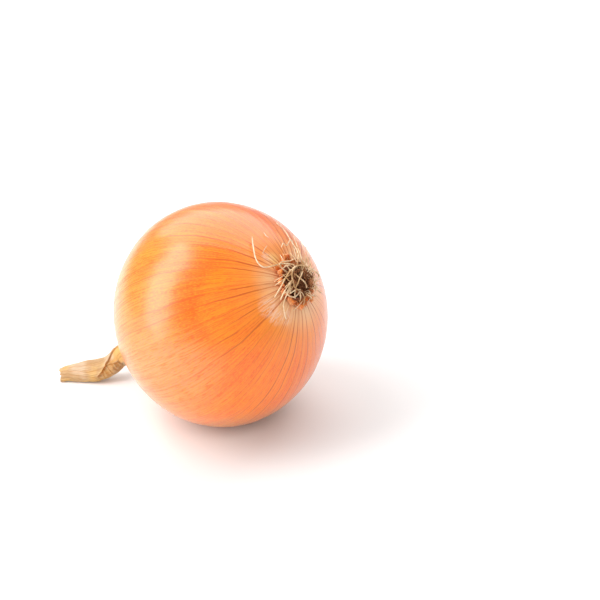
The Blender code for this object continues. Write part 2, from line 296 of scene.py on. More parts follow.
def over_skin(angle, radius, lift):
    """The point this far above the skin of the root end, at this angle and distance from the axis."""
    height = -ROOT_LENGTH * math.sqrt(1 - (radius / BULB_RADIUS) ** 2)
    normal = Vector((radius / BULB_RADIUS**2, height / ROOT_LENGTH**2)).normalized()
    reach = radius + lift * normal.x
    return in_place(
        reach * math.cos(angle), reach * math.sin(angle), height + lift * normal.y
    )


def lumps(points, scale, seed):
    """Smooth noise, about -1 to 1, at each of the points."""
    flat = points.reshape(-1, 3)
    shift = Vector((seed * 7.3, seed * 3.1, seed * 5.7))
    values = [noise.noise(Vector(p) * scale + shift) for p in flat]
    return np.array(values).reshape(points.shape[:-1])


def grid_object(name, points, layers, wrapped=True):
    """A mesh over rows and columns of points, with UV layers of two values at each row and column.

    A wrapped grid closes round its columns, so each layer has one column more than the points.
    """
    rows, columns = points.shape[:2]
    last = columns if wrapped else columns - 1
    r, c = np.meshgrid(np.arange(rows - 1), np.arange(last), indexing="ij")
    r, c = r.ravel(), c.ravel()
    corners = np.stack([r * columns + c, r * columns + (c + 1) % columns], 1)
    upper = corners[:, ::-1] + columns
    faces = np.concatenate([corners, upper], 1)
    mesh = bpy.data.meshes.new(name)
    mesh.from_pydata(points.reshape(-1, 3).tolist(), [], faces.tolist())
    uv_rows = np.stack([r, r, r + 1, r + 1], 1).ravel()
    uv_columns = np.stack([c, c + 1, c + 1, c], 1).ravel()
    for layer_name, values in layers.items():
        layer = mesh.uv_layers.new(name=layer_name)
        layer.data.foreach_set("uv", values[uv_rows, uv_columns].ravel())
    mesh.shade_smooth()
    return shown(name, mesh)


def shown(name, mesh):
    obj = bpy.data.objects.new(name, mesh)
    bpy.context.scene.collection.objects.link(obj)
    return obj


def dress(obj, material, slot, *nodes):
    """Gives a piece its material and its place on the body, and hides the model's parts for the nodes
    it stands for.
    """
    obj.data.materials.append(material)
    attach(obj, "root")
    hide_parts(*nodes)
    return obj


# Materials


class Shades:
    """Builds a material's nodes: each call adds one node and returns its output."""

    def __init__(self, name):
        self.material = bpy.data.materials.new(name)
        self.material.use_nodes = True
        self.tree = self.material.node_tree
        self.surface = self.tree.nodes["Principled BSDF"]

    def feed(self, socket, value):
        if isinstance(value, bpy.types.NodeSocket):
            self.tree.links.new(value, socket)
        elif isinstance(value, tuple) and len(value) == 3 and socket.type == "RGBA":
            socket.default_value = (*value, 1.0)
        else:
            socket.default_value = value

    def node(self, kind, **settings):
        made = self.tree.nodes.new(kind)
        for key, value in settings.items():
            setattr(made, key, value)
        return made

    def math(self, operation, a, b=0.0, c=0.0):
        made = self.node("ShaderNodeMath", operation=operation)
        for socket, value in zip(made.inputs, (a, b, c)):
            self.feed(socket, value)
        return made.outputs[0]

    def times(self, a, b):
        return self.math("MULTIPLY", a, b)

    def plus(self, a, b):
        return self.math("ADD", a, b)

    def step(self, value, start, end, low=0.0, high=1.0):
        """Eases from low to high as value goes from start to end."""
        made = self.node("ShaderNodeMapRange", interpolation_type="SMOOTHSTEP")
        for socket, given in zip(made.inputs, (value, start, end, low, high)):
            self.feed(socket, given)
        return made.outputs[0]

    def uv(self, layer):
        split = self.node("ShaderNodeSeparateXYZ")
        self.feed(split.inputs[0], self.node("ShaderNodeUVMap", uv_map=layer).outputs[0])
        return split.outputs[0], split.outputs[1]

    def vector(self, x, y, z):
        made = self.node("ShaderNodeCombineXYZ")
        for socket, value in zip(made.inputs, (x, y, z)):
            self.feed(socket, value)
        return made.outputs[0]

    def stretched(self, across, run, width, length, layer):
        """Surface values scaled across and along; the layer keeps two patterns apart."""
        return self.vector(self.times(across, width), self.times(run, length), layer)

    def place(self):
        return self.node("ShaderNodeTexCoord").outputs["Object"]

    def height(self, vector):
        split = self.node("ShaderNodeSeparateXYZ")
        self.feed(split.inputs[0], vector)
        return split.outputs[2]

    def spot(self, vector, degrees, mm, size):
        """Distance from a place on the root half of the skin, 1 at the spot's edge."""
        made = self.node("ShaderNodeVectorMath", operation="DISTANCE")
        self.feed(made.inputs[0], vector)
        made.inputs[1].default_value = over_skin(math.radians(degrees), mm / 1000, 0.0)
        return self.math("DIVIDE", made.outputs["Value"], size / 1000)

    def noise(self, vector, scale, detail=2.0, rough=0.5):
        made = self.node("ShaderNodeTexNoise")
        self.feed(made.inputs["Vector"], vector)
        made.inputs["Scale"].default_value = scale
        made.inputs["Detail"].default_value = detail
        made.inputs["Roughness"].default_value = rough
        return made.outputs["Fac"]

    def random(self, value):
        made = self.node("ShaderNodeTexWhiteNoise", noise_dimensions="1D")
        self.feed(made.inputs["W"], value)
        return made.outputs["Value"]

    def mix(self, factor, a, b, blend="MIX"):
        made = self.node("ShaderNodeMix", data_type="RGBA", blend_type=blend)
        self.feed(made.inputs["Factor"], factor)
        self.feed(made.inputs[6], a)
        self.feed(made.inputs[7], b)
        return made.outputs[2]

    def bump(self, height, distance):
        made = self.node("ShaderNodeBump")
        self.feed(made.inputs["Height"], height)
        made.inputs["Distance"].default_value = distance
        made.inputs["Strength"].default_value = 1.0
        return made.outputs[0]

    def finish(self, colour, roughness, normal=None, **values):
        self.feed(self.surface.inputs["Base Color"], colour)
        self.feed(self.surface.inputs["Roughness"], roughness)
        if normal:
            self.feed(self.surface.inputs["Normal"], normal)
        for key, value in values.items():
            self.surface.inputs[key.replace("_", " ")].default_value = value
        return self.material


def near_spot(s, place, warp, spot, start, end, most):
    """Eases from most down to 0 away from a spot, whose edge the warp makes uneven."""
    return s.step(s.plus(s.spot(place, *spot), warp), start, end, most, 0.0)


def vein_lines(s, veins, run, reach, place):
    """How strongly the main veins show, and the thin ones between them, each 0 to 1."""
    wander = s.math("MULTIPLY_ADD", s.noise(place, 90.0, 2.0), 0.40, -0.20)
    wavy = s.plus(veins, wander)
    nearest = s.math("ROUND", wavy)
    offset = s.math("ABSOLUTE", s.math("SUBTRACT", wavy, nearest))
    spacing_mm = s.times(reach, 10.0 * 2 * math.pi / VEIN_COUNT)
    distance_mm = s.times(offset, spacing_mm)
    character = s.random(nearest)
    width_mm = s.math("MULTIPLY_ADD", character, 0.19, 0.28)
    line = s.step(s.math("DIVIDE", distance_mm, width_mm), 0.2, 1.0, 1.0, 0.0)
    strength = s.step(character, 0.05, 0.75, 0.35, 1.0)
    broken = s.step(s.noise(s.vector(nearest, run, 0.3), 9.0, 2.0), 0.34, 0.62, 0.25, 1.0)
    near_root = s.step(run, 0.26, 0.62, 1.0, 0.50)
    main = s.times(s.times(s.times(line, strength), broken), near_root)

    second = s.times(wavy, 3.0)
    between = s.math("ABSOLUTE", s.math("SUBTRACT", second, s.math("ROUND", second)))
    thin = s.step(s.times(between, spacing_mm), 0.10, 0.75, 1.0, 0.0)
    chosen = s.step(s.random(s.math("ROUND", second)), 0.3, 0.95, 0.0, 0.8)
    return main, s.times(thin, chosen)


def body_colour(s, veins, run, place, warp, streaks):
    """Orange with redder streaks and spots and a yellow spot, paler in bands and to the crown."""
    patches = s.noise(place, 26.0, 2.0, 0.5)
    colour = s.mix(s.step(patches, 0.3, 0.7), BODY_ORANGE, BODY_YELLOW)
    colour = s.mix(s.step(streaks, 0.34, 0.68, 0.0, 0.50), colour, STREAK_TONE)
    for spot in RED_SPOTS:
        colour = s.mix(near_spot(s, place, warp, spot, 0.3, 1.3, 0.55), colour, RED_TONE)
    yellow = near_spot(s, place, warp, YELLOW_SPOT, 0.86, 1.06, 0.5)
    colour = s.mix(yellow, colour, YELLOW_TONE)
    bands = s.noise(s.stretched(veins, run, 1.7, 1.0, 8.0), 2.0, 3.0, 0.6)
    colour = s.mix(s.step(bands, 0.46, 0.70, 0.0, 0.24), colour, BAND_TONE)
    return s.mix(s.step(run, 0.36, 0.60, 0.0, 0.50), colour, CROWN_TONE)


def root_end_colour(s, colour, veins, run, reach, place, warp):
    """Adds a pale glow and tan round the scar, less tan at an orange spot, cream, and painted shade in
    the gap round the root plate.
    """
    root_half = s.step(run, 0.3, 0.4, 1.0, 0.0)
    glow = s.times(s.step(reach, 1.0, 2.6, 0.5, 0.0), root_half)
    colour = s.mix(glow, colour, GLOW_TONE, "LIGHTEN")
    tan = s.times(s.step(reach, 0.85, 1.80, 1.0, 0.0), root_half)
    lit = s.noise(s.stretched(veins, run, 1.3, 0.0, 6.0), 1.0, 2.0)
    tan_tone = s.mix(s.step(lit, 0.5, 0.7), DARK_TAN, LIGHT_TAN)
    off_orange = s.step(s.plus(s.spot(place, *ORANGE_SPOT), warp), 0.5, 1.1, 0.16, 0.84)
    colour = s.mix(s.times(tan, off_orange), colour, tan_tone)
    colour = s.mix(near_spot(s, place, warp, CREAM_SPOT, 0.3, 1.2, 0.75), colour, CREAM_TONE)
    # Painted shade: the skin goes dark brown-red in the gap under the torn skin and round the plate
    scar = s.times(s.step(reach, 0.58, 0.76, 0.85, 0.0), root_half)
    return s.mix(scar, colour, SCAR_GAP_SHADE_TONE)


def film_cover(s, veins, run, place, warp):
    """Where scraps of pale film lie on the skin, 0 to 1."""
    scraps = s.noise(s.stretched(veins, run, 4.5, 24.0, 4.0), 1.6, 3.0, 0.7)
    film = 0.0
    for spot in FILM_SPOTS:
        film = s.math("MAXIMUM", film, near_spot(s, place, warp, spot, 0.5, 1.3, 1.0))
    return s.times(film, s.step(scraps, 0.46, 0.54))


def skin_material():
    """Papery onion skin: veins and fine fibres run from the root to the neck.

    The values of a point are its vein number, its run from root to neck as 0 to 1, and its
    reach, in centimetres from the axis.
    """
    s = Shades("onion_skin")
    veins, run = s.uv("veins")
    reach, _ = s.uv("reach")
    place = s.place()
    main, thin = vein_lines(s, veins, run, reach, place)
    fibres = s.noise(s.stretched(veins, run, 5.0, 1.0, 0.0), 2.2, 3.0, 0.6)
    streaks = s.noise(s.stretched(veins, run, 0.8, 1.0, 2.0), 1.7, 3.0, 0.55)
    dashes = s.noise(s.stretched(veins, run, 9.0, 26.0, 5.0), 1.0, 2.0)
    cells = s.stretched(veins, run, 15.0, 105.0, 0.0)
    grain = s.noise(cells, 1.0, 2.0, 0.65)
    coarse = s.noise(cells, 0.55, 2.0, 0.6)
    warp = s.math("MULTIPLY_ADD", s.noise(place, 60.0, 2.0), 0.5, -0.25)

    colour = body_colour(s, veins, run, place, warp, streaks)
    # Painted light: a pale salmon patch on the lower left stands for the white floor's light, and
    # fibres and veins fade under it
    floor_light = near_spot(s, place, warp, FLOOR_LIGHT_SPOT, 0.2, 1.2, 0.50)
    colour = s.mix(floor_light, colour, FLOOR_LIGHT_SALMON_TONE)
    quiet = s.math("MULTIPLY_ADD", floor_light, -0.9, 1.0)
    # Painted shade: the skin darkens to tan towards the floor, where the bulb rests on it
    floor_shade = s.step(s.height(place), 0.003, 0.019, 0.85, 0.0)
    colour = s.mix(floor_shade, colour, FLOOR_SHADE_TONE)
    fibre = s.times(s.step(fibres, 0.42, 0.66, 0.0, 0.70), quiet)
    colour = s.mix(fibre, colour, FIBRE_TONE)
    colour = s.mix(s.step(dashes, 0.50, 0.64, 0.0, 0.60), colour, DASH_TONE)
    colour = s.mix(s.step(grain, 0.42, 0.66, 0.0, 0.44), colour, GRAIN_TONE)
    colour = root_end_colour(s, colour, veins, run, reach, place, warp)
    dry = s.step(run, 0.80, 1.02)
    colour = s.mix(s.times(dry, 0.85), colour, FLARE_TONE)
    colour = s.mix(s.times(s.times(thin, quiet), 0.75), colour, THIN_VEIN_TONE)
    colour = s.mix(s.times(s.times(main, quiet), 0.88), colour, VEIN_TONE)
    film = film_cover(s, veins, run, place, warp)
    colour = s.mix(s.times(film, 0.55), colour, FILM_TONE)

    height = s.math("MULTIPLY_ADD", main, 0.10, s.times(fibres, 0.75))
    height = s.plus(height, s.times(s.plus(grain, coarse), 0.9))
    roughness = s.math("MULTIPLY_ADD", s.noise(place, 55.0, 3.0), 0.12, 0.20)
    roughness = s.math("MULTIPLY_ADD", streaks, 0.18, roughness)
    roughness = s.plus(roughness, s.times(dry, 0.25))
    gloss = {"Coat_Weight": 1.0, "Coat_Roughness": 0.27, "Coat_IOR": 1.5}
    return s.finish(colour, roughness, s.bump(height, 0.00012), IOR=1.25, **gloss)


def flake_material():
    """Torn scraps of skin round the root scar: red-orange, paler at their thin edges."""
    s = Shades("torn_skin")
    across, out = s.uv("flake")
    place = s.place()
    blotch = s.noise(place, 420.0, 3.0, 0.6)
    colour = s.mix(s.step(blotch, 0.3, 0.7), FLAKE_RED, FLAKE_ORANGE)
    edge = s.math("MAXIMUM", s.step(out, 0.7, 1.0), s.step(s.math("ABSOLUTE", across), 0.75, 1.0))
    colour = s.mix(s.times(edge, 0.6), colour, FLAKE_EDGE_TONE)
    ribs = s.noise(s.stretched(across, out, 6.0, 1.0, 0.0), 2.0, 2.0)
    colour = s.mix(s.step(ribs, 0.48, 0.66, 0.0, 0.6), colour, FLAKE_RIB_TONE)
    return s.finish(colour, 0.42, s.bump(ribs, 0.0001))


def neck_material():
    """Dry, pleated leaf sheaths: straw to yellow-ochre, with brown painted shade in the creases, under
    the sheath's edge and inner fold and inside the hollow tip.
    """
    s = Shades("withered_leaf")
    around, run = s.uv("sheath")
    shade, inner = s.uv("crease")
    place = s.place()
    long_fibres = s.noise(s.stretched(around, run, 34.0, 1.0, 0.0), 2.4, 4.0, 0.6)
    hairs = s.noise(s.stretched(around, run, 95.0, 5.0, 3.0), 1.6, 2.0)
    blotch = s.noise(place, 210.0, 3.0, 0.6)
    golden = s.noise(place, 190.0, 2.0)
    bleached = s.noise(place, 150.0, 1.0)
    colour = s.mix(s.step(blotch, 0.32, 0.7), LEAF_OCHRE, LEAF_STRAW)
    colour = s.mix(s.times(inner, 0.8), colour, INNER_LEAF_TONE)
    colour = s.mix(s.step(long_fibres, 0.42, 0.7, 0.0, 0.65), colour, LEAF_FIBRE_TONE)
    colour = s.mix(s.step(hairs, 0.52, 0.68, 0.0, 0.55), colour, LEAF_HAIR_TONE)
    colour = s.mix(s.step(golden, 0.5, 0.66, 0.0, 0.6), colour, GOLDEN_TONE)
    colour = s.mix(s.step(bleached, 0.5, 0.7, 0.0, 0.6), colour, BLEACHED_TONE)
    # Painted shade, brown, where the crease layer's shade value is high
    colour = s.mix(s.times(shade, 0.85), colour, CREASE_SHADE_TONE)
    height = s.math("MULTIPLY_ADD", long_fibres, 0.7, s.times(blotch, 0.4))
    return s.finish(colour, 0.62, s.bump(height, 0.00022))


def plate_material():
    """Corky root plate: dark brown, with lighter crumbs."""
    s = Shades("root_plate")
    place = s.place()
    crumbs = s.noise(place, 1100.0, 3.0, 0.7)
    colour = s.mix(s.step(crumbs, 0.4, 0.75), CORK_DARK, CORK_CRUMB)
    blotch = s.noise(place, 300.0, 2.0)
    colour = s.mix(s.step(blotch, 0.5, 0.7, 0.0, 0.5), colour, CORK_BROWN)
    return s.finish(colour, 0.9, s.bump(crumbs, 0.0004), Specular_IOR_Level=0.05)


def fibre_material():
    """Short fibres over the plate: brown, darker than the long roots."""
    s = Shades("plate_fibre")
    tone = s.noise(s.place(), 500.0, 2.0, 0.6)
    colour = s.mix(s.step(tone, 0.35, 0.65), *PLATE_FIBRE_TONES)
    return s.finish(colour, 0.8, Specular_IOR_Level=0.1)


def root_material():
    """Dry roots: tan, paler along some stretches."""
    s = Shades("dry_root")
    place = s.place()
    tone = s.noise(place, 260.0, 2.0, 0.6)
    colour = s.mix(s.step(tone, 0.35, 0.65), *ROOT_TONES)
    far = s.step(s.spot(place, 0, 0, 10.0), 1.05, 1.60, 0.0, 0.75)
    colour = s.mix(far, colour, FAR_ROOT_TONE)
    specks = s.noise(place, 1500.0, 2.0, 0.6)
    colour = s.mix(s.step(specks, 0.5, 0.75, 0.0, 0.45), colour, SPECK_TONE)
    return s.finish(colour, 0.7, s.bump(specks, 0.00008), Specular_IOR_Level=0.3)


def floor_material():
    """Plain and pale, with hardly any gloss."""
    s = Shades("floor")
    tone = s.noise(s.place(), 3.0, 2.0)
    colour = s.mix(tone, *FLOOR_TONES)
    return s.finish(colour, 0.9, IOR=1.2)


# Bulb


def body_profile(latitude):
    length = ROOT_LENGTH if latitude < 0 else CROWN_LENGTH
    return BULB_RADIUS * math.cos(latitude), length * math.sin(latitude)


def flare_profile(share):
    """(radius, height) of the concave flare from the shoulder to the neck's end."""
    start = Vector(body_profile(SHOULDER_LATITUDE))
    slope = Vector(
        (
            -BULB_RADIUS * math.sin(SHOULDER_LATITUDE),
            CROWN_LENGTH * math.cos(SHOULDER_LATITUDE),
        )
    ).normalized()
    end = Vector((NECK_END_RADIUS, NECK_END_HEIGHT))
    p1 = start + slope * FLARE_START_PULL
    p2 = end - Vector((-0.16, 1.0)).normalized() * FLARE_END_PULL
    rest = 1 - share
    return (
        rest**3 * start
        + 3 * rest**2 * share * p1
        + 3 * rest * share**2 * p2
        + share**3 * end
    )


def vein_angles():
    draw = random.Random(VEIN_SEED)
    pitch = 2 * math.pi / VEIN_COUNT
    return [
        (k + draw.uniform(-VEIN_JITTER, VEIN_JITTER)) * pitch for k in range(VEIN_COUNT)
    ]


def make_bulb():
    latitudes = np.linspace(-math.pi / 2 + 0.02, SHOULDER_LATITUDE, BODY_ROWS)
    profile = [body_profile(latitude) for latitude in latitudes[:-1]]
    profile += [flare_profile(k / FLARE_ROWS) for k in range(FLARE_ROWS + 1)]
    profile = np.array([tuple(p) for p in profile])
    veins = vein_angles()
    marks = np.linspace(0, VEIN_COUNT, VEIN_COUNT * COLUMNS_PER_VEIN + 1)
    angles = np.interp(marks, range(VEIN_COUNT + 1), veins + [veins[0] + 2 * math.pi])
    count = len(marks) - 1

    radius = np.repeat(profile[:, :1], count, 1)
    height = np.repeat(profile[:, 1:], count, 1)
    turn = np.broadcast_to(angles[:-1], radius.shape)
    plain = np.stack([radius * np.cos(turn), radius * np.sin(turn), height], -1)
    fade = smooth_step((radius - SCAR_RADIUS) / 0.004)
    ridge = 0.5 + 0.5 * np.cos(2 * math.pi * marks[:-1])
    relief = fade * (VEIN_RELIEF * ridge + SKIN_LUMP * lumps(plain, 95.0, 1))
    scale = 1 + relief / np.maximum(radius, 0.002)
    points = all_in_place(plain * np.stack([scale, scale, np.ones_like(scale)], -1))
    points[..., 2] = np.maximum(points[..., 2], 0.0)

    steps = np.linalg.norm(np.diff(profile, axis=0), axis=1)
    run = np.concatenate([[0.0], np.cumsum(steps)])
    run /= run[-1]
    rows = len(profile)
    vein_layer = np.stack(
        [np.broadcast_to(marks, (rows, count + 1)), np.repeat(run[:, None], count + 1, 1)], -1
    )
    reach = np.repeat(profile[:, :1] * 100, count + 1, 1)
    reach_layer = np.stack([reach, np.zeros_like(reach)], -1)
    bulb = grid_object("bulb_skin", points, {"veins": vein_layer, "reach": reach_layer})
    return dress(bulb, skin_material(), "onion_skin", "bulb")


def flake_shapes():
    """(angle, half width, foot, length, rise, curl) of each flake, the large ones first."""
    draw = random.Random(FLAKE_SEED)
    shapes = [
        (math.radians(degrees), half_width, BIG_FLAKE_FOOT, length / 1000, rise / 1000, BIG_FLAKE_CURL)
        for degrees, half_width, length, rise in BIG_FLAKES
    ]
    for k in range(SMALL_FLAKES):
        angle = 2 * math.pi * (k + draw.uniform(-0.5, 0.5)) / SMALL_FLAKES
        half_width = draw.uniform(0.11, 0.26)
        foot = draw.uniform(0.0056, 0.0072)
        length = draw.uniform(0.0014, 0.0034)
        rise = draw.uniform(0.0005, 0.0016)
        shapes.append((angle, half_width, foot, length, rise, draw.uniform(-0.2, 0.6)))
    return shapes


def flake_grid(k, angle, half_width, foot, length, rise, curl):
    """The points of one flake, and each point's values across it and out from its foot."""
    points = np.zeros((FLAKE_ROWS, FLAKE_COLUMNS, 3))
    layer = np.zeros((FLAKE_ROWS, FLAKE_COLUMNS, 2))
    for i in range(FLAKE_ROWS):
        out = i / (FLAKE_ROWS - 1)
        for j in range(FLAKE_COLUMNS):
            across = -1 + 2 * j / (FLAKE_COLUMNS - 1)
            rag = noise.noise(Vector((j * 0.8, k * 3.3, 0.0)))
            reach = length * (0.75 + 0.6 * rag) * (1 - 0.45 * across**2)
            lift = rise * math.sin(out * (1.6 + curl)) + 0.0002 * rag * out
            wave = 0.00018 * math.sin(across * 7 + k) * out
            turn = angle + half_width * across * (1 - 0.25 * out)
            points[i, j] = over_skin(turn, foot + reach * out, lift + wave)
            layer[i, j] = (across, out)
    return points, layer


def make_flakes():
    """Thin curled scraps of torn skin all round the root scar."""
    material = flake_material()
    for k, shape in enumerate(flake_shapes()):
        points, layer = flake_grid(k, *shape)
        flake = grid_object(f"torn_skin_{k:02d}", points, {"flake": layer}, wrapped=False)
        solid = flake.modifiers.new("Thickness", "SOLIDIFY")
        solid.thickness = FLAKE_THICKNESS
        dress(flake, material, "onion_skin", "bulb")


# Roots


def tube(points, radius, sides=8, steps=40, wiggle=0.00012, seed=0.0):
    """Rings of a thin, slightly crooked, tapering tube through the points."""
    rings = np.zeros((steps + 1, sides, 3))
    normal = None
    for k in range(steps + 1):
        share = k / steps
        centre = along(points, share)
        ahead = (along(points, share + 0.01) - along(points, share - 0.01)).normalized()
        if normal is None:
            normal = ahead.orthogonal().normalized()
        normal = (normal - ahead * normal.dot(ahead)).normalized()
        across = ahead.cross(normal)
        place = Vector((share * 9, seed, 0.0))
        centre = centre + noise.noise_vector(place) * wiggle * smooth_step(share * 5)
        width = radius * (1.0 - 0.3 * share) * (1 + 0.3 * noise.noise(place * 2))
        if k in (0, steps):
            width *= 0.3
        for i in range(sides):
            turn = 2 * math.pi * i / sides
            rings[k, i] = centre + (normal * math.cos(turn) + across * math.sin(turn)) * width
    return rings


def tubes_object(name, tubes):
    """All the tubes as one mesh, with closed ends."""
    verts, faces = [], []
    for rings in tubes:
        base = len(verts)
        steps, sides = rings.shape[:2]
        verts += rings.reshape(-1, 3).tolist()
        for k in range(steps - 1):
            for i in range(sides):
                j = (i + 1) % sides
                a = base + k * sides
                faces.append((a + i, a + j, a + sides + j, a + sides + i))
        faces.append(tuple(base + i for i in reversed(range(sides))))
        faces.append(tuple(base + (steps - 1) * sides + i for i in range(sides)))
    mesh = bpy.data.meshes.new(name)
    mesh.from_pydata(verts, [], faces)
    mesh.shade_smooth()
    return shown(name, mesh)


def make_plate():
    """The root plate: a rough dome that stands on the scar."""
    rows, columns = 40, 96
    out = np.linspace(0, 1, rows)
    angles = np.linspace(0, 2 * math.pi, columns, endpoint=False)
    scar_height = -ROOT_LENGTH * math.sqrt(1 - (SCAR_RADIUS / BULB_RADIUS) ** 2)
    radius = PLATE_RADIUS * np.cos(out * math.pi / 2)[:, None] ** 0.55
    lift = JOINT_GAP + PLATE_HEIGHT * np.sin(out * math.pi / 2)[:, None] ** 1.1
    turn = np.broadcast_to(angles, (rows, columns))
    x = radius * np.cos(turn)
    y = radius * np.sin(turn)
    z = np.broadcast_to(scar_height - lift, x.shape)
    points = np.stack([x, y, z], -1)
    rough = lumps(points, 620.0, 3) + 0.6 * lumps(points, 1500.0, 4)
    outward = points - np.array([0, 0, scar_height])
    outward /= np.maximum(np.linalg.norm(outward, axis=-1, keepdims=True), 1e-6)
    fade = smooth_step(out * 5)[:, None, None]
    points = points + outward * rough[..., None] * 0.00055 * fade
    plate = grid_object("root_plate", all_in_place(points), {})
    plate.data.flip_normals()
    return dress(plate, plate_material(), "dry_root", "root_tuft")


def make_roots():
    """The long roots, the loose hairs and the short roots round the plate's rim, as one piece."""
    draw = random.Random(RIM_ROOT_SEED)
    tubes = []
    for k, (size, route) in enumerate(LONG_ROOTS):
        first = route[0]
        points = [over_skin(math.radians(first[0]), 0.5 * first[1] / 1000, 0.0015)]
        points += [over_skin(math.radians(a), r / 1000, h / 1000) for a, r, h in route]
        tubes.append(tube(points, size / 1000, seed=k * 2.3))
    for k, route in enumerate(LOOSE_HAIRS):
        points = [over_skin(math.radians(a), r / 1000, h / 1000) for a, r, h in route]
        tubes.append(tube(points, HAIR_RADIUS, steps=16, seed=200 + k))
    for k in range(RIM_ROOTS):
        angle = GOLDEN_ANGLE * k
        turn = angle + draw.uniform(-0.7, 0.7)
        tip = draw.uniform(0.0068, 0.0108)
        points = [
            over_skin(angle, 0.0034, 0.0015),
            over_skin(angle, 0.0042, 0.0032),
            over_skin((angle + turn) / 2, 0.0058, 0.0034 + draw.uniform(-0.0004, 0.0006)),
            over_skin(turn, tip, 0.0020 + draw.uniform(-0.0008, 0.0010)),
        ]
        size = draw.uniform(0.00016, 0.00027)
        tubes.append(tube(points, size, steps=24, wiggle=0.00018, seed=50 + k))
    roots = tubes_object("dry_roots", tubes)
    return dress(roots, root_material(), "dry_root", "root_tuft")


def make_plate_fibres():
    """Short dark fibres that curl over the root plate."""
    draw = random.Random(PLATE_FIBRE_SEED)
    tubes = []
    for k in range(PLATE_FIBRES):
        angle = GOLDEN_ANGLE * k
        reach = PLATE_RADIUS * math.sqrt((k + 0.5) / PLATE_FIBRES)
        turn = angle + draw.uniform(-1.6, 1.6)
        far = min(reach + draw.uniform(-0.0012, 0.0016), 0.0058)
        points = [
            over_skin(angle, reach * 0.8, 0.0020),
            over_skin(angle, reach * 0.95, 0.0033),
            over_skin((angle + turn) / 2, (reach + far) / 2, 0.0036),
            over_skin(turn, max(far, 0.0006), 0.0028 + draw.uniform(-0.0006, 0.0008)),
        ]
        size = draw.uniform(0.00010, 0.00018)
        tubes.append(tube(points, size, sides=6, steps=18, wiggle=0.0003, seed=90 + k))
    fibres = tubes_object("plate_fibres", tubes)
    return dress(fibres, fibre_material(), "dry_root", "root_tuft")


# Neck


def neck_path():
    slant = Vector((-EQUATOR_SHEAR[0], -EQUATOR_SHEAR[1], 1.0))
    axis = (POSE.to_3x3() @ slant).normalized()
    start = in_place(0, 0, NECK_END_HEIGHT) + axis * JOINT_GAP
    return [start, start + axis * NECK_STRAIGHT, *NECK_PATH]


def neck_section(share):
    """The neck's centre, direction, side and upward vectors, half width and half thickness."""
    path = neck_path()
    centre = along(path, share)
    ahead = (along(path, share + 0.01) - along(path, share - 0.01)).normalized()
    side = ahead.cross(Vector((0, 0, 1))).normalized()
    width, thickness, twist = along(NECK_SIZES, share)
    turn = Matrix.Rotation(math.radians(twist), 3, ahead)
    return centre, ahead, turn @ side, turn @ side.cross(ahead), width, thickness


def share_of(edge, degrees):
    """The share of the neck's length where an edge or fold lies at each angle."""
    return np.interp(degrees, [d for _, d in edge], [p for p, _ in edge])


def bell(x, middle, width):
    return np.exp(-(((x - middle) / width) ** 2))


def neck_relief(share, angles, phase):
    """Lift in metres, crease shade and bare inner leaf, for the ring at this share of the neck."""
    degrees = np.degrees(angles)
    in_edge = smooth_step((degrees - 50) / 22) * smooth_step((152 - degrees) / 16)
    in_fold = smooth_step((degrees - 94) / 12) * smooth_step((200 - degrees) / 26)
    in_facet = smooth_step((degrees - 50) / 22) * smooth_step((205 - degrees) / 18)
    past = share - share_of(SHEATH_EDGE, degrees)
    past_fold = share - share_of(INNER_FOLD, degrees)
    facet = in_facet * smooth_step(-past / 0.02) * smooth_step(-past_fold / 0.02)
    crumpled = in_fold * smooth_step(past_fold / 0.02) * smooth_step(-past / 0.02)
    calm = (1 - 0.7 * facet) * (1 - 0.6 * crumpled)
    grown = smooth_step((share + 0.02) * 5)

    wander = 1.4 * np.sin(angles + share * 5) + 5.0 * share
    pleats = 0.6 * np.abs(np.sin(angles * 5 + wander + phase))
    pleats = pleats + 0.4 * np.abs(np.sin(angles * 17 - wander + phase))
    depth = PLEAT_DEPTH * grown * (1 - 0.35 * share) * calm
    flap = in_edge * smooth_step(past / 0.012 + 0.5)
    flap_rise = flap * (FLAP_RISE * np.exp(-np.maximum(past, 0) / 0.10))
    lip = in_edge * LIP_RISE * bell(past, 0.012, 0.010)
    ridge = in_fold * FOLD_RISE * bell(past_fold, 0.0, 0.012)
    ripple = share * 74 + 0.5 * math.sin(share * 97) + degrees * 0.022
    ruck = crumpled * np.abs(np.sin(ripple)) ** 2
    lift = depth * (pleats - 0.65) + flap_rise + lip + ridge - RUCK_DEPTH * ruck

    # Painted shade: in the pleats' grooves, under the sheath's edge and the inner fold, and in the
    # ruck
    groove = np.clip(1 - pleats * 1.9, 0, 1) * grown * (1 - 0.6 * facet)
    under = in_edge * bell(past, -0.012, 0.014) + 0.8 * in_fold * bell(past_fold, 0.018, 0.012)
    shade = 0.8 * groove * calm + under + 0.75 * ruck
    return lift, np.clip(shade, 0, 1), facet


def fray_tip(points, angles, ahead):
    """Moves the last rings forward and back along the neck, so that its tip is ragged."""
    broad = [noise.noise(Vector((math.cos(a) * 2.2, math.sin(a) * 2.2, 4.0))) for a in angles]
    fine = [noise.noise(Vector((a * 9.0, 8.0, 0.0))) for a in angles]
    frays = np.array(broad) + 0.5 * np.array(fine)
    weight = smooth_step((np.arange(NECK_ROWS) / NECK_ROWS - 0.85) / 0.15)
    points += weight[:, None, None] * frays[None, :, None] * NECK_FRAY * ahead


def hollow_tip(points, crease, ahead):
    """Adds rings that narrow into the neck's open end, each with more painted shade than the last."""
    middle = points[-1].mean(0)
    inward = []
    for k in range(1, TIP_RINGS + 1):
        shrink = 1 - 0.16 * min(k, 2) - 0.035 * max(k - 2, 0)
        ring = middle + (points[-1] - middle) * shrink
        inward.append(ring - ahead * TIP_STEP * k)
    # Painted shade: the inner rings' shade ramps up to full dark
    dark = np.repeat(crease[-1:], TIP_RINGS, 0)
    dark[..., 0] = np.linspace(0.3, 1.0, TIP_RINGS)[:, None]
    return np.concatenate([points, inward]), np.concatenate([crease, dark])


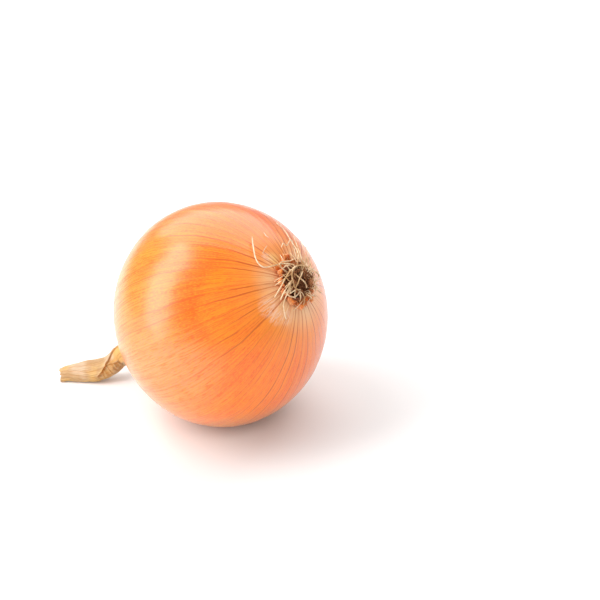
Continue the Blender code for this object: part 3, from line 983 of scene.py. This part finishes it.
def make_neck():
    """The neck's sheaths, pleated, with a free edge, an inner fold and a ragged, hollow tip."""
    angles = np.linspace(0, 2 * math.pi, NECK_COLUMNS, endpoint=False)
    phase = random.Random(NECK_SEED).uniform(0, 6.28)
    points = np.zeros((NECK_ROWS, NECK_COLUMNS, 3))
    crease = np.zeros((NECK_ROWS, NECK_COLUMNS + 1, 2))
    for k in range(NECK_ROWS):
        share = -0.03 + 1.03 * k / (NECK_ROWS - 1)
        centre, _, side, up, width, thickness = neck_section(share)
        lift, shade, facet = neck_relief(share, angles, phase)
        points[k] = (
            np.array(centre)
            + np.outer((width + lift) * np.cos(angles), side)
            + np.outer((thickness + lift) * np.sin(angles), up)
        )
        crease[k, :-1, 0] = shade
        crease[k, :-1, 1] = facet
        crease[k, -1] = crease[k, 0]
    points += NECK_LUMP * lumps(points, 420.0, 6)[..., None]
    ahead = np.array(neck_section(1.0)[1])
    fray_tip(points, angles, ahead)
    points[..., 2] = np.maximum(points[..., 2], NECK_CLEARANCE)
    points, crease = hollow_tip(points, crease, ahead)
    count = len(points)
    around = np.broadcast_to(np.linspace(0, 1, NECK_COLUMNS + 1), (count, NECK_COLUMNS + 1))
    run = np.repeat(np.linspace(0, 1, count)[:, None], NECK_COLUMNS + 1, 1)
    layers = {"sheath": np.stack([around, run], -1), "crease": crease}
    neck = grid_object("neck_sheath", points, layers)
    return dress(neck, neck_material(), "withered_leaf", "neck")


# Stage


def make_camera():
    """Looks down on the onion, with the bulb's middle at its place in the picture."""
    right = Vector((math.cos(CAMERA_AZIMUTH), math.sin(CAMERA_AZIMUTH), 0.0))
    level = Vector((-math.sin(CAMERA_AZIMUTH), math.cos(CAMERA_AZIMUTH), 0.0))
    down = Vector((0.0, 0.0, -1.0))
    ahead = level * math.cos(CAMERA_ELEVATION) + down * math.sin(CAMERA_ELEVATION)
    up = right.cross(ahead)
    distance = FRAME_PIXELS * PIXEL_SIZE * LENS / SENSOR
    place = CENTRE - ahead * distance
    place += right * (FRAME_PIXELS / 2 - BULB_PIXEL[0]) * PIXEL_SIZE
    place += up * (BULB_PIXEL[1] - FRAME_PIXELS / 2) * PIXEL_SIZE
    data = bpy.data.cameras.new("camera")
    data.lens = LENS
    data.sensor_width = SENSOR
    camera = bpy.data.objects.new("camera", data)
    camera.matrix_world = Matrix.Translation(place) @ Matrix((right, up, -ahead)).transposed().to_4x4()
    bpy.context.scene.collection.objects.link(camera)
    bpy.context.scene.camera = camera
    return right, level


def area_light(name, direction, distance, size, power, roll=0.0):
    """A softbox that faces the bulb from this direction, rolled by so many degrees."""
    data = bpy.data.lights.new(name, "AREA")
    data.shape = "RECTANGLE"
    data.size, data.size_y = size
    data.energy = power
    light = bpy.data.objects.new(name, data)
    direction = direction.normalized()
    light.location = CENTRE + direction * distance
    light.rotation_mode = "QUATERNION"
    turn = Matrix.Rotation(math.radians(roll), 3, "Z").to_quaternion()
    light.rotation_quaternion = direction.to_track_quat("Z", "Y") @ turn
    bpy.context.scene.collection.objects.link(light)
    return light


def make_stage():
    """Floor, camera, three softboxes and an even white surround."""
    mesh = bpy.data.meshes.new("floor")
    corners = [(x * FLOOR_REACH, y * FLOOR_REACH, 0) for x, y in ((-1, -1), (1, -1), (1, 1), (-1, 1))]
    mesh.from_pydata(corners, [], [(0, 1, 2, 3)])
    mesh.materials.append(floor_material())
    shown("floor", mesh)
    right, level = make_camera()
    up = Vector((0, 0, 1))
    from_left = -0.80 * right - 0.20 * level + 0.54 * up
    from_behind = 0.02 * right + 0.72 * level + 0.84 * up
    from_front = 0.26 * right - 0.88 * level + 0.50 * up
    area_light("window", from_left, distance=0.60, size=(0.37, 0.94), power=6.4, roll=24)
    area_light("top", from_behind, distance=0.9, size=(1.3, 1.0), power=9.4)
    fill = area_light("fill", from_front, distance=1.0, size=(1.0, 1.0), power=5.2)
    fill.visible_glossy = False
    world = bpy.data.worlds.new("studio")
    world.use_nodes = True
    background = world.node_tree.nodes["Background"]
    background.inputs["Color"].default_value = (1.0, 1.0, 1.0, 1.0)
    background.inputs["Strength"].default_value = 0.32
    bpy.context.scene.world = world
    bpy.context.scene.view_settings.view_transform = "Standard"


noise.seed_set(CROOK_SEED)
make_stage()
make_bulb()
make_flakes()
make_plate()
make_roots()
make_plate_fibres()
make_neck()
